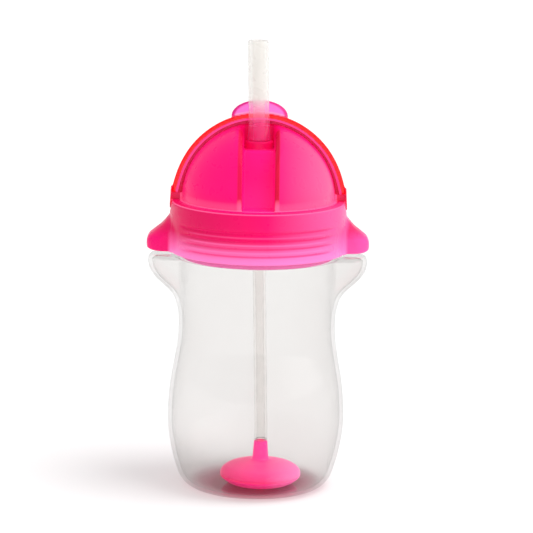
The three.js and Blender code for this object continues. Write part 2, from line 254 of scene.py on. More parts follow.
def net(name, field, low, high, step):
    """Closed mesh of a field's zero surface: one vertex a cell, relaxed and moved onto the surface.

    The surface has to lie inside the box from low to high, or the mesh is left open at the box.
    """
    axes = [np.arange(a, b + step, step) for a, b in zip(low, high)]
    shape = tuple(len(a) for a in axes)
    value = np.empty(shape, np.float32)
    for i, x in enumerate(axes[0]):
        y, z = np.meshgrid(axes[1], axes[2], indexing="ij")
        value[i] = field(np.full_like(y, x), y, z)
    inside = value < 0
    cells = tuple(s - 1 for s in shape)
    count = np.zeros(cells, np.int8)
    corner = [(a, b, c) for a in (0, 1) for b in (0, 1) for c in (0, 1)]
    for a, b, c in corner:
        count += inside[a:a + cells[0], b:b + cells[1], c:c + cells[2]]
    active = np.argwhere((count > 0) & (count < 8))
    number = np.full(cells, -1, np.int64)
    number[tuple(active.T)] = np.arange(len(active))
    total = np.zeros((len(active), 3))
    crossings = np.zeros(len(active))
    faces = []
    for axis in range(3):
        u, v = [(1, 2), (2, 0), (0, 1)][axis]
        for du in (0, 1):
            for dv in (0, 1):
                p = active.copy()
                p[:, u] += du
                p[:, v] += dv
                q = p.copy()
                q[:, axis] += 1
                a, b = value[tuple(p.T)], value[tuple(q.T)]
                hit = (a < 0) != (b < 0)
                t = np.where(hit, a / np.where(a == b, 1, a - b), 0.0)
                at = p.astype(float)
                at[:, axis] += t
                total[hit] += at[hit]
                crossings[hit] += 1
        step_axis = np.zeros(3, int)
        step_axis[axis] = 1
        first = tuple(slice(0, s - o) for s, o in zip(shape, step_axis))
        second = tuple(slice(o, s) for s, o in zip(shape, step_axis))
        for sign in (True, False):
            edge = np.argwhere((inside[first] == sign) & (inside[second] != sign))
            keep = (edge[:, u] > 0) & (edge[:, v] > 0)
            keep &= (edge[:, u] < shape[u] - 1) & (edge[:, v] < shape[v] - 1)
            edge = edge[keep]
            quad = []
            for du, dv in ((-1, -1), (0, -1), (0, 0), (-1, 0)):
                c = edge.copy()
                c[:, u] += du
                c[:, v] += dv
                quad.append(number[tuple(c.T)])
            quad = np.stack(quad, -1)
            faces.append(quad if sign else quad[:, ::-1])
    faces = np.vstack(faces)
    points = total / crossings[:, None] * step + np.array(low, float)
    pairs = np.vstack([faces[:, [0, 1]], faces[:, [1, 2]], faces[:, [2, 3]], faces[:, [3, 0]]])
    a, b = np.concatenate([pairs[:, 0], pairs[:, 1]]), np.concatenate([pairs[:, 1], pairs[:, 0]])
    degree = np.maximum(np.bincount(a, minlength=len(points)), 1)
    for turn in range(SETTLE_TURNS):
        if turn in RELAX_TURNS:
            mean = np.stack([np.bincount(a, points[b, k], len(points)) for k in range(3)], -1)
            points += RELAX_SHARE * (mean / degree[:, None] - points)
        g = gradient(field, points)
        d = field(points[:, 0], points[:, 1], points[:, 2])
        move = d / np.maximum((g * g).sum(1), FLATTEST)
        points -= g * np.clip(move, -step, step)[:, None]
    g = gradient(field, points)
    normals = g / np.maximum(np.linalg.norm(g, axis=1), 1e-9)[:, None]
    return make_object(name, points, faces, normals)


# ---- ear outline shared by cup and lid ------------------------------------
def nose(x, y, tip, depth, corner=6.5):
    """Distance to a round-nosed ear seen from above; both ears at once, as they mirror."""
    middle, half = (tip + EAR_ROOT) / 2, (tip - EAR_ROOT) / 2
    corner = np.minimum(corner, depth - 0.3)
    dx = np.abs(np.abs(x) - middle) - (half - corner)
    dy = np.abs(y) - (depth - corner)
    outside = np.sqrt(np.maximum(dx, 0) ** 2 + np.maximum(dy, 0) ** 2)
    return outside + np.minimum(np.maximum(dx, dy), 0) - corner


def radius_where_zero(distance, start, stop, angles):
    """Outermost radius at each angle where distance(x, y) turns positive."""
    low, high = np.array(start, float), np.array(stop, float)
    for _ in range(HALVINGS):
        middle = (low + high) / 2
        inside = distance(middle * np.cos(angles), middle * np.sin(angles)) < 0
        low, high = np.where(inside, middle, low), np.where(inside, high, middle)
    return (low + high) / 2


# ---- cup ------------------------------------------------------------------
CUP_WALL = 1.7
CUP_PROFILE = [
    [25.5, 0], [28.8, 0.75], [32, 3.7], [34.3, 9.4], [36.2, 17], [37.5, 25.5], [37.6, 35],
    [36.7, 45], [34.8, 56], [33.5, 65.5], [33.5, 74.5], [34.4, 88], [34.7, 100.1],
]
CUP_EAR_TIP = curve([
    [70, 24], [73, 30], [77.5, 33.6], [81.5, 35.1], [84.8, 37.3], [88.3, 41], [91.5, 44.1],
    [95.2, 46.1], [98.2, 46.5], [99.4, 46.1], [100.1, 45.3],
])
CUP_EAR_DEPTH = curve([[70, 5], [77, 7], [84, 8.2], [92, 8.7], [98.6, 8.8], [100.1, 8.2]])
NECK_R, MOUTH_R, NECK_TOP = 34.2, 33.0, 119.8
NECK_THREAD_START = 107.2
EAR_START, SHOULDER = 70, 100.2       # heights between which the ears and the flange stand out
INNER_TOP = 98.0                      # under the shoulder the inside opens out from the mouth


def thread(angles, z, start, turns=1):
    """How far a screw thread stands out at each angle and height."""
    around = np.mod(angles, 2 * math.pi)
    height = np.zeros(np.broadcast(angles, z).shape)
    for lap in range(-1, int(turns) + 2):
        turn = around + 2 * math.pi * lap
        left = 2 * math.pi * turns - turn
        fade = smoothstep(0, THREAD_FADE, turn) * smoothstep(0, THREAD_FADE, left)
        away = np.abs(z - (start + PITCH * turn / (2 * math.pi)))
        ridge = 1 - smoothstep(THREAD_CREST, THREAD_EDGE, away)
        height = np.maximum(height, fade * ridge)
    return THREAD_DEPTH * height


def make_cup():
    """The cup, as rings up its outside, over the neck and down its inside."""
    quarter = np.concatenate([
        np.arange(0, 8, 0.8), np.arange(8, 18, 0.25), np.arange(18, 90, 0.8)])
    half = np.concatenate([quarter, 180 - quarter[::-1]])
    half = np.unique(np.round(half, 4))
    whole = np.unique(np.round(np.concatenate([half, 180 + half]) % 360, 4))
    angles = np.radians(whole)
    count = len(angles)
    body = spline(CUP_PROFILE, 0.9)
    body_r = curve([[z, r] for r, z in body[6:]], 800)

    def ring(r, z):
        return np.full(count, r), np.full(count, z)

    def wall(z, shrink):
        rb = float(body_r(z)) - shrink
        tip, depth = float(CUP_EAR_TIP(z)) - shrink, float(CUP_EAR_DEPTH(z)) - shrink

        def distance(x, y):
            return smin(np.hypot(x, y) - rb, nose(x, y, tip, depth), 1.6 if shrink == 0 else 2.2)
        return radius_where_zero(distance, np.full(count, rb - 3), np.full(count, 52), angles)

    rows = [ring(r, z) for r, z in (
        [5, 0], [11, 0], [17.4, 0], [17.8, 0.04], [18.2, 0.22], [18.8, 0.36],
        [20.2, 0.36], [20.8, 0.22], [21.2, 0.04], [21.6, 0], [23.5, 0])]
    for r, z in body:
        if z < EAR_START:
            rows.append(ring(r, z))
    for z in np.concatenate([np.arange(EAR_START, 99, 0.6), np.arange(99.1, 100.15, 0.2)]):
        rows.append((wall(z, 0.0), np.full(count, z)))
    top = rows[-1][0]
    # The ears' flat top runs in to the flange, which is a plain ring from here up.
    rows.append((np.where(top > 37.3, top - 0.5, top), np.full(count, SHOULDER)))
    for share in (0.4, 0.8):
        rows.append((np.where(top > 37.3, top - 0.5 + share * (37.3 - top), top),
                     np.full(count, 100.22)))
    rows.append((np.where(top > 36.6, 36.7, np.maximum(top, 35.1)), np.full(count, 100.26)))
    rows.append((np.where(top > 36.6, 36.6, 36.1), np.full(count, 100.42)))
    for r, z in ([36.5, 100.7], [36.6, 101.1], [36.55, 101.6], [36.3, 101.9], [35.9, 102],
                 [34.6, 102], [34.3, 102.1], [NECK_R, 102.5]):
        rows.append(ring(r, z))
    for z in np.arange(102.9, NECK_TOP - 0.5, 0.4):
        rows.append((NECK_R + thread(angles, z, NECK_THREAD_START), np.full(count, z)))
    for r, z in ([NECK_R, NECK_TOP - 0.4], [34.08, NECK_TOP - 0.12], [33.8, NECK_TOP],
                 [33.4, NECK_TOP], [33.12, NECK_TOP - 0.12], [MOUTH_R, NECK_TOP - 0.4]):
        rows.append(ring(r, z))
    for z in np.arange(118.5, 101, -1.5):
        rows.append(ring(MOUTH_R, z))
    rows.append(ring(MOUTH_R, SHOULDER))
    step_r = 33.02
    rows.append(ring(MOUTH_R + 0.02, 98.9))
    inside = wall(INNER_TOP, CUP_WALL)
    for share in (0.05, 0.35, 0.7, 0.95):
        rows.append((step_r + share * (np.maximum(inside, step_r) - step_r), np.full(count, 98.4)))
    for z in np.arange(INNER_TOP, 71, -0.6):
        rows.append((wall(z, CUP_WALL), np.full(count, z)))
    for z in np.arange(70.5, 12.2, -0.9):
        rows.append(ring(float(body_r(z)) - CUP_WALL, z))
    lower = spline([[float(body_r(12)) - CUP_WALL, 12], [32.2, 8.4], [30.9, 4.9], [28.5, 2.25],
                    [24, 1.35], [10, 1.3], [3, 1.3]], 0.8)
    for r, z in lower:
        rows.append(ring(r, z))
    radius = np.array([r for r, _ in rows])
    height = np.array([z for _, z in rows])
    return polar_grid("cup_shell", radius, height, angles)


# ---- lid ------------------------------------------------------------------
COLLAR = curve([[101, 37.5], [103, 37.75], [110, 37.65], [117, 37.45], [121.8, 37.05], [124, 36.8]])
LID_EAR_TIP = curve([
    [101, 45.2], [102.4, 45.9], [103.6, 46.9], [105.2, 47.1], [106.6, 47.05], [108.4, 46.3],
    [110.4, 44.1], [113, 40.9], [116.2, 38.2], [119, 36.4], [124, 33],
])
LID_EAR_DEPTH = curve([[101, 9.1], [106, 9.4], [113, 9.2], [119, 8.6], [124, 7]])
# The slot for the straw: half width, wall, height of its shelf, its back, and the slope's two ends.
CHANNEL = {"half": 6.4, "wall": 1.9, "shelf": 146.5, "back": 2.6,
           "lip": -11.5, "foot": (-24.5, 124.0)}
GRIPS = [115.4, 112.15, 108.95, 105.8]
GRIP_DEPTH, GRIP_HALF = 0.75, 0.62
LID_THREAD_START = 104.2
LID_EAR_LOW, LID_EAR_HIGH = 102.4, 117.2
POCKET_WALL, POCKET_TOP = 1.8, 113.0
SKIRT_R, SKIRT_HALF, SKIRT_LOW, SKIRT_HIGH = 31.9, 0.7, 99.6, 123.2
BEAD_R, BEAD_SIZE = 33.1, 1.0
BOSS_R, BOSS_LOW, BOSS_HIGH = 5.85, 144.0, 149.8
SOCKET_R, SOCKET_LOW, SOCKET_HIGH = 7.2, 139.0, 145.1
STRAW_HOLE_R, FLANGE_ROOM_R, FLANGE_ROOM_TOP = 4.4, 6.2, 143.6
RECESS_R, RECESS_FROM = 5.1, 36.5
PEG_R, PEG_START, PEG_END = 2.0, 31.4, 37.2


def grip(angle_from_front, z):
    """Soft horizontal grooves on the front and back of the collar, with the grip ridges between."""
    fade = 1 - smoothstep(math.radians(50), math.radians(62), angle_from_front)
    wave = np.zeros(np.shape(z))
    for middle in GRIPS:
        wave = wave - np.exp(-((z - middle) / GRIP_HALF) ** 2)
    return GRIP_DEPTH * wave * fade


def channel_floor(y, z):
    """Negative above the channel's floor, which is flat at the straw and slopes to the front."""
    run = CHANNEL["foot"][0] - CHANNEL["lip"]
    fall = CHANNEL["foot"][1] - CHANNEL["shelf"]
    length = math.hypot(run, fall)
    slope = (y - CHANNEL["lip"]) * (-fall / length) + (z - CHANNEL["shelf"]) * (run / length)
    return smin(CHANNEL["shelf"] - z, slope, 1.2)


def upright(x, y, r):
    """Distance to an upright cylinder round the straw."""
    return np.hypot(x, y - STRAW_Y) - r


def lid_field(x, y, z):
    """The lid: collar and ears, bore and thread, skirt, dome with its slot, boss, hinge pegs."""
    r = np.hypot(x, y)
    from_front = np.arctan2(np.abs(x), np.abs(y))
    body = r - COLLAR(z) - grip(from_front, z)
    ear = nose(x, y, LID_EAR_TIP(z), LID_EAR_DEPTH(z))
    ear = smax(smax(ear * 0.8, LID_EAR_LOW - z, 1.2), z - LID_EAR_HIGH, 2.0)
    body = smax(body, z - LEDGE_Z, 0.9)
    body = smax(body, COLLAR_BOTTOM - z, 0.7)
    body = smin(body, ear, 1.3)
    bore = smax(r - COLLAR_INNER, z - DECK_UNDER, 0.8)
    body = smax(body, -bore, 0.5)
    hollow = nose(x, y, LID_EAR_TIP(z) - POCKET_WALL, LID_EAR_DEPTH(z) - POCKET_WALL, 5.0)
    hollow = smax(smax(hollow, 37.9 - r, 1.2), z - POCKET_TOP, 1.5)
    body = smax(body, -hollow, 0.5)
    angle = np.arctan2(y, x)
    ridge = thread(angle, z, LID_THREAD_START)
    near = np.where(np.abs(r - COLLAR_INNER) < 2.0, ridge, 0.0)
    screw = smax(COLLAR_INNER - near - r, r - 36.8, 0.3)
    body = smin(body, smax(smax(screw, z - 120.5, 0.3), COLLAR_BOTTOM + 0.8 - z, 0.3), 0.3)
    skirt = smax(np.abs(r - SKIRT_R) - SKIRT_HALF, smax(SKIRT_LOW - z, z - SKIRT_HIGH, 0.5), 0.5)
    bead = np.hypot(r - BEAD_R, z - LEDGE_Z + 0.3) - BEAD_SIZE
    body = smin(smin(body, skirt, 0.8), bead, 0.5)
    plate = smax(np.abs(z - 122.4) - 1.0, smax(r - 36.0, 31.3 - r, 0.3), 0.4)
    body = smin(body, plate, 0.4)
    q = np.sqrt(x * x + y * y + (z - DOME_Z) ** 2)
    side = np.abs(x)
    ease = 0.9 + 3.5 * smoothstep(139, 151, z)
    fold = np.clip(1 - (side - CHANNEL["half"]) / ease, 0, 1)
    drop = ease * (1 - np.sqrt(np.maximum(1 - fold * fold, 0.03)))
    outer = smax(q - DOME_R + drop * smoothstep(6, -4, y), 122.2 - z, 0.5)
    shell = smax(outer, -(q - (DOME_R - DOME_WALL)), 0.4)
    floor = channel_floor(y, z)
    block = smax(smax(side - CHANNEL["half"] - CHANNEL["wall"], floor - 1.8, 0.6),
                 y - CHANNEL["back"] - 1.9, 0.6)
    block = smax(block, outer, 0.4)
    dome = smin(shell, block, 0.9)
    void = smax(smax(side - CHANNEL["half"], floor, 0.8), y - CHANNEL["back"], 1.5)
    void = smax(void, 124.1 - z, 0.8)
    dome = smax(dome, -void, 0.7)
    boss = smax(upright(x, y, BOSS_R), smax(BOSS_LOW - z, z - BOSS_HIGH, 0.5), 0.8)
    socket = smax(upright(x, y, SOCKET_R), smax(SOCKET_LOW - z, z - SOCKET_HIGH, 0.5), 0.5)
    dome = smin(smin(dome, boss, 0.8), socket, 0.6)
    dome = smax(dome, -upright(x, y, STRAW_HOLE_R), 0.4)
    dome = smax(dome, -smax(upright(x, y, FLANGE_ROOM_R), z - FLANGE_ROOM_TOP, 0.4), 0.4)
    whole = smin(body, dome, 0.5)
    hinge = np.hypot(y, z - PIVOT_Z)
    recess = smax(hinge - RECESS_R, RECESS_FROM - side, 0.4)
    whole = smax(whole, -recess, 0.5)
    peg = smax(hinge - PEG_R, smax(PEG_START - side, side - PEG_END, 0.4), 0.5)
    return smin(whole, peg, 0.3)


# ---- flip cover -----------------------------------------------------------
COVER_WALL, COVER_RIM = 1.5, 2.75     # wall at the back and at the front rim
COVER_LEAN, COVER_SPAN = math.radians(1.7), math.radians(88.4)
TAB_ROOT = 34.7                       # height of the tab's root over the hinge, in the front plane
TAB_HALF, TAB_HEIGHT, TAB_THICK = 11.9, 6.9, 1.5
PLATE_R, PLATE_OUT, PLATE_IN = 4.6, 37.3, 36.75
COVER_BORE_R = 2.3
COVER_OUTLINE = spline([
    [0, 36], [6, 35.5], [12, 33.95], [18, 31.2], [24, 26.85], [28.6, 22], [32, 16.8],
    [34.2, 12.1], [35.5, 8.3], [36.3, 5.4], [36.9, 2.8], [37.2, 0.5]], 0.3)
COVER_RHO = curve(
    [[math.atan2(x, r), math.hypot(x, r)] for x, r in COVER_OUTLINE if x == 0 or r > 0.4], 1200)


def cover_places(x, y, z):
    """Depth under the outer surface, distance behind the front, height above the tab's root."""
    side, h = np.abs(x), z - PIVOT_Z
    around = np.hypot(y, h)
    outer = np.hypot(around, side) - COVER_RHO(np.arctan2(side, around))
    behind = y * math.cos(COVER_LEAN) - h * math.sin(COVER_LEAN)
    height = h * math.cos(COVER_LEAN) + y * math.sin(COVER_LEAN) - TAB_ROOT
    return -outer, behind, height


def tab_outline(x, height):
    """Rough distance to the tab's half-oval outline."""
    flat = (np.abs(x) / TAB_HALF) ** 2 + (np.maximum(height, -2.0) / TAB_HEIGHT) ** 2
    return (np.sqrt(np.maximum(flat, 1e-6)) - 1) * 6.5


def cover_field(x, y, z):
    """The flip cover: a quarter-turn shell with a thicker rim, two hinge plates and the tab."""
    side, h = np.abs(x), z - PIVOT_Z
    around = np.hypot(y, h)
    under, behind, height = cover_places(x, y, z)
    wall = COVER_WALL + (COVER_RIM - COVER_WALL) * (1 - smoothstep(1.6, 4.2, behind))
    shell = smax(-under, under - wall, 0.5)
    end = COVER_LEAN + COVER_SPAN
    back = y * math.cos(end) - h * math.sin(end)
    shell = smax(smax(shell, -behind, 0.5), back, 0.7)
    shell = smax(shell, (under - 1.95 - behind) * 0.7, 0.2)
    plate = smax(side - PLATE_OUT + 0.06 * h, PLATE_IN - side, 0.2)
    plate = smax(around - PLATE_R, plate, 0.5)
    cover = smin(shell, plate, 1.2)
    tab = smax(tab_outline(x, height), np.abs(behind - TAB_THICK / 2) - TAB_THICK / 2, 0.9)
    cover = smin(cover, smax(tab, -height - 0.5, 0.3), 0.5)
    return smax(cover, COVER_BORE_R - around, 0.4)


def paint_cover(mesh):
    """Tint, clearness and painted glow at each vertex: a red front rim with painted glow, a violet
    inner edge that is a painted highlight, a paler tab.
    """
    p = np.empty(len(mesh.vertices) * 3)
    mesh.vertices.foreach_get("co", p)
    x, y, z = (p.reshape(-1, 3) / MM).T
    under, behind, height = cover_places(x, y, z)
    front = 1 - smoothstep(0.9, 1.6, behind)
    red = front * smoothstep(-0.35, 0.05, under) * (1 - smoothstep(1.75, 2.0, under))
    violet = (1 - smoothstep(1.6, 2.4, behind)) * smoothstep(1.75, 2.0, under)
    above = (height > 0) & (under < 0)
    tab = np.where(above, 1 - smoothstep(-0.35, 0.0, under), 0.0)
    rim = tab * smoothstep(-1.0, -0.45, tab_outline(x, height))
    foot = tab * (1 - smoothstep(0.5, 1.3, -under)) * (1 - rim)
    inner = smoothstep(0.5, 1.2, under) * (1 - smoothstep(14, 26, behind))
    inner = inner * (1 - violet) * (1 - red)
    # Painted glow on the red front rim and a painted highlight along the violet inner edge; the tab
    # is paler with a paler foot and a darker rim, and the inside is a deeper red.
    colour = np.tile([1.0, 0.14, 0.4], (len(x), 1))
    for share, shade in (
            (red, (1.0, 0.006, 0.012)), (violet, (1.0, 0.12, 0.5)), (tab, (1.0, 0.2, 0.72)),
            (foot, (1.0, 0.42, 0.72)), (rim, (0.75, 0.02, 0.25)), (inner, (1.0, 0.02, 0.16))):
        colour += share[:, None] * (np.array(shade) - colour)
    clear = 0.8 * (1 - 0.75 * inner) * (1 - red) * (1 - 0.75 * violet)
    clear = clear * (1 - 0.35 * tab) * (1 - 0.6 * rim)
    # glow is a painted glow on the rim, the inner edge and the tab.
    glow = np.maximum(np.maximum(red, violet), 0.4 * tab)
    tint = mesh.attributes.new("tint", "FLOAT_COLOR", "POINT")
    tint.data.foreach_set("color", np.column_stack([colour, np.ones(len(x))]).ravel())
    mesh.attributes.new("clear", "FLOAT", "POINT").data.foreach_set("value", clear)
    mesh.attributes.new("glow", "FLOAT", "POINT").data.foreach_set("value", glow)


# ---- straw and weight -----------------------------------------------------
def tube_outline(outer, bore, step=0.5, round_end=None):
    """Closed outline of a tube: outer curve upward, then the bore back down."""
    up = spline(outer, step)
    top, bottom = up[-1], up[0]
    n = max(3, int((top[1] - bottom[1]) / 1.2))
    down = [[bore, z] for z in np.linspace(top[1], bottom[1], n)]
    if round_end:
        down[0] = [bore + 0.35, top[1]]
        down.insert(1, [bore, top[1] - 0.4])
    return np.vstack([up, down])


def lens_top():
    """Outline of the weight's upper shell with its post."""
    outer = spline([[17.25, 5.6], [17.2, 6.5], [16.5, 7.75], [14.5, 9.2], [12, 10.1], [8, 11.1],
                    [5.2, 11.6], [3.9, 12.1], [3.45, 13.2], [3.2, 15.5], [2.9, 19.4], [2.75, 20.0],
                    [2.4, 20.2]], 0.4)
    inner = np.array([[1.75, 20.2], [1.75, 10], [4.6, 9.9], [8, 9.5], [11.5, 8.6], [14.9, 7.1],
                      [16, 5.6]])
    return np.vstack([outer, inner])


def lens_bottom():
    """Outline of the weight's lower shell."""
    outer = spline([[1.75, 1.7], [8, 1.7], [10.6, 1.72], [13.2, 2.15], [15.1, 3.1], [16.6, 4.3],
                    [17.2, 5.05], [17.1, 5.3]], 0.4)
    inner = np.array([[16, 5.3], [15, 4.3], [13.2, 3.3], [9, 2.95], [3, 2.95], [3, 9.4],
                      [1.75, 9.4]])
    return np.vstack([outer, inner])


# ---- materials ------------------------------------------------------------
def material(name):
    """Empty material: the material, its node tree and its output node."""
    m = bpy.data.materials.new(name)
    m.use_nodes = True
    tree = m.node_tree
    tree.nodes.clear()
    output = tree.nodes.new("ShaderNodeOutputMaterial")
    return m, tree, output


def node(tree, kind, inputs=None, **settings):
    """New node; an input that is a socket is linked, any other is set."""
    n = tree.nodes.new(kind)
    for key, value in settings.items():
        setattr(n, key, value)
    for key, value in (inputs or {}).items():
        if isinstance(value, bpy.types.NodeSocket):
            tree.links.new(value, n.inputs[key])
        else:
            n.inputs[key].default_value = value
    return n


def fine_bump(tree, scale, strength, distance=0.00005, detail=3.0):
    """Faint uneven surface of a moulded part: the coordinates, the noise and the normal socket."""
    where = node(tree, "ShaderNodeTexCoord")
    noise = node(tree, "ShaderNodeTexNoise",
                 {"Vector": where.outputs["Object"], "Scale": scale, "Detail": detail})
    bump = node(tree, "ShaderNodeBump",
                {"Height": noise.outputs["Fac"], "Strength": strength, "Distance": distance})
    return where, noise, bump.outputs["Normal"]


def map_range(tree, source, low, high, to_low=0.0, to_high=1.0):
    return node(tree, "ShaderNodeMapRange", {
        "Value": source, "From Min": low, "From Max": high, "To Min": to_low, "To Max": to_high},
        clamp=True).outputs["Result"]


def uneven(tree, noise, smooth, rough):
    """Roughness that wanders between two values with the noise."""
    return map_range(tree, noise.outputs["Fac"], 0.3, 0.7, smooth, rough)


def surface(tree, output, inputs):
    """Principled shader on the material's output."""
    shader = node(tree, "ShaderNodeBsdfPrincipled", inputs)
    tree.links.new(shader.outputs["BSDF"], output.inputs["Surface"])


def sheen(tree, normal, rough, least, most, power):
    """A glossy shader and the share of it, which grows toward the edges."""
    gloss = node(tree, "ShaderNodeBsdfGlossy", {"Roughness": rough, "Normal": normal})
    facing = node(tree, "ShaderNodeLayerWeight", {"Blend": 0.5}).outputs["Facing"]
    share = maths(tree, "MULTIPLY_ADD", maths(tree, "POWER", facing, power), most - least)
    share.node.inputs[2].default_value = least
    return gloss.outputs["BSDF"], share


def clear_plastic():
    """Thin clear wall that light passes straight through, with painted pink light, a painted
    reflection and a painted shadow of the weight in the base under it.
    """
    m, tree, output = material("clear_tritan")
    where, noise, normal = fine_bump(tree, 60.0, 0.04)
    rough = uneven(tree, noise, 0.05, 0.12)
    cloud = node(tree, "ShaderNodeTexNoise", {"Vector": where.outputs["Object"], "Scale": 14.0})
    tint = mixed(tree, map_range(tree, cloud.outputs["Fac"], 0.35, 0.7),
                 (0.947, 0.944, 0.94, 1.0), (0.935, 0.927, 0.923, 1.0))
    split = node(tree, "ShaderNodeSeparateXYZ", {"Vector": where.outputs["Object"]})
    off = from_axis(tree, split.outputs["X"], split.outputs["Y"])
    # Painted pink light from the weight in the base, and its painted reflection and shadow right
    # under it.
    low = map_range(tree, split.outputs["Z"], 0.0024, 0.0016)
    tint = mixed(tree, low, tint, (0.965, 0.935, 0.94, 1.0))
    under = maths(tree, "MULTIPLY", low, map_range(tree, off, 0.028, 0.019))
    tint = mixed(tree, under, tint, (0.88, 0.62, 0.69, 1.0))
    wall = node(tree, "ShaderNodeBsdfTransparent", {"Color": tint})
    gloss, share = sheen(tree, normal, rough, 0.02, 0.75, 4.0)
    both = node(tree, "ShaderNodeMixShader", {0: share, 1: wall.outputs["BSDF"], 2: gloss})
    tree.links.new(both.outputs["Shader"], output.inputs["Surface"])
    haze = node(tree, "ShaderNodeVolumeAbsorption",
                {"Color": (0.5, 0.47, 0.46, 1.0), "Density": 9.0})
    tree.links.new(haze.outputs["Volume"], output.inputs["Volume"])
    return m


def mixed(tree, share, a, b):
    mix = node(tree, "ShaderNodeMix", {"Factor": share, "A": a, "B": b}, data_type="RGBA")
    return mix.outputs["Result"]


def from_axis(tree, x, y):
    """Distance from the cup's axis."""
    level = node(tree, "ShaderNodeCombineXYZ", {"X": x, "Y": y}).outputs["Vector"]
    return node(tree, "ShaderNodeVectorMath", {0: level}, operation="LENGTH").outputs["Value"]


def maths(tree, kind, a, b=0.0):
    return node(tree, "ShaderNodeMath", {0: a, 1: b}, operation=kind).outputs["Value"]


def band(tree, value, start, full, stop=None, gone=None):
    """A share that rises from start to full and, where asked, falls again from stop to gone."""
    rise = map_range(tree, value, start, full)
    if stop is None:
        return rise
    return maths(tree, "MULTIPLY", rise, map_range(tree, value, gone, stop))


def tinted(tree, tint, share, colour):
    return mixed(tree, share, tint, (*colour, 1.0))


def times(tree, *values):
    total = values[0]
    for value in values[1:]:
        total = maths(tree, "MULTIPLY", total, value)
    return total


def pink_lid():
    """The lid's pink, with painted light and shade: lighter and darker places stand in for the
    light that falls on the plastic and is caught in it, and its emission is a painted glow.
    """
    m, tree, output = material("pink_polypropylene")
    where, noise, normal = fine_bump(tree, 300.0, 0.012, 0.00002, 1.0)
    split = node(tree, "ShaderNodeSeparateXYZ", {"Vector": where.outputs["Object"]})
    x, y, z = (split.outputs[axis] for axis in "XYZ")
    side, off = maths(tree, "ABSOLUTE", x), from_axis(tree, x, y)
    cloud = node(tree, "ShaderNodeTexNoise", {"Vector": where.outputs["Object"], "Scale": 26.0})
    tint = mixed(tree, map_range(tree, cloud.outputs["Fac"], 0.35, 0.7, 0.0, 0.5),
                 (0.88, 0.003, 0.165, 1.0), (0.88, 0.003, 0.14, 1.0))

    def paint(colour, *shares):
        nonlocal tint
        tint = tinted(tree, tint, times(tree, *shares), colour)

    # Collar and dome: painted shade over the collar and more at its left, painted light at the
    # right, and painted light at the collar's lower edge.
    collar = band(tree, z, 0.1237, 0.1233)
    dome = times(tree, band(tree, z, 0.1235, 0.1245), band(tree, y, -0.003, -0.006))
    paint((0.8, 0.002, 0.115), collar, 0.7)
    paint((0.64, 0.003, 0.085), collar, band(tree, x, 0.004, -0.024), 0.85)
    paint((0.93, 0.085, 0.29), collar, band(tree, x, 0.004, 0.03))
    paint((0.93, 0.1, 0.27), dome, band(tree, x, 0.007, 0.03))
    paint((0.97, 0.2, 0.53), band(tree, z, 0.1125, 0.1035), 0.95)
    # Ears: painted shade at the left and on top, painted light at the right.
    ears = band(tree, off, 0.0379, 0.0393)
    paint((0.82, 0.003, 0.15), ears, band(tree, x, 0.0, -0.01))
    paint((0.9, 0.05, 0.3), ears, band(tree, x, 0.0, 0.01), 0.8)
    paint((0.68, 0.004, 0.08), ears, band(tree, z, 0.1085, 0.1125), 0.75)
    # Grip: the distance from the nearest groove, which repeats up the collar. Painted shade goes in
    # the grooves and a painted highlight on the ridges.
    from_groove = maths(tree, "PINGPONG", maths(tree, "SUBTRACT", z, 0.1058), 0.0016)
    bottom, front = band(tree, z, 0.1048, 0.1055), band(tree, side, 0.031, 0.026)
    groove = band(tree, from_groove, 0.0005, 0.0002)
    paint((0.82, 0.006, 0.14), groove, bottom, band(tree, z, 0.1166, 0.1158), front, 0.5)
    ridge = band(tree, from_groove, 0.0011, 0.0014)
    paint((1.0, 0.2, 0.5), ridge, bottom, band(tree, z, 0.1145, 0.113), front, 0.35)
    # Slot: painted shade on its two walls, painted light on its floor, and painted shade in the
    # deep part behind the shelf.
    wall = times(tree, band(tree, side, 0.0066, 0.007, 0.0084, 0.0089), dome)
    shade = mixed(tree, band(tree, x, -0.001, 0.001),
                  (0.7, 0.004, 0.06, 1.0), (0.52, 0.002, 0.022, 1.0))
    tint = mixed(tree, times(tree, wall, 0.9), tint, shade)
    slot = times(tree, band(tree, side, 0.0066, 0.0062), dome)
    paint((0.95, 0.006, 0.22), slot, 0.85)
    paint((0.98, 0.02, 0.28), slot, band(tree, z, 0.136, 0.126), 0.8)
    deep = times(tree, band(tree, z, 0.1462, 0.1468), band(tree, side, 0.0063, 0.0059))
    paint((0.68, 0.003, 0.085), deep, 0.85)
    # Painted highlight along the edge of the ledge and the foot of the dome, then painted shade on
    # the hinge peg.
    lip = times(tree, band(tree, z, 0.1229, 0.1233), band(tree, off, 0.0361, 0.0364))
    foot = times(tree, band(tree, z, 0.1239, 0.1241), band(tree, off, 0.0322, 0.0326))
    paint((1.0, 0.14, 0.35), maths(tree, "MAXIMUM", lip, foot), 0.85)
    peg = times(tree, band(tree, side, 0.0329, 0.0333), band(tree, z, 0.1236, 0.1239))
    paint((0.55, 0.005, 0.06), peg, 0.85)
    # The emission is a painted glow that stands in for light caught in the plastic.
    surface(tree, output, {
        "Base Color": tint, "Roughness": uneven(tree, noise, 0.26, 0.36), "Normal": normal,
        "IOR": 1.49, "Specular IOR Level": 0.14, "Emission Color": tint, "Emission Strength": 0.18})
    return m


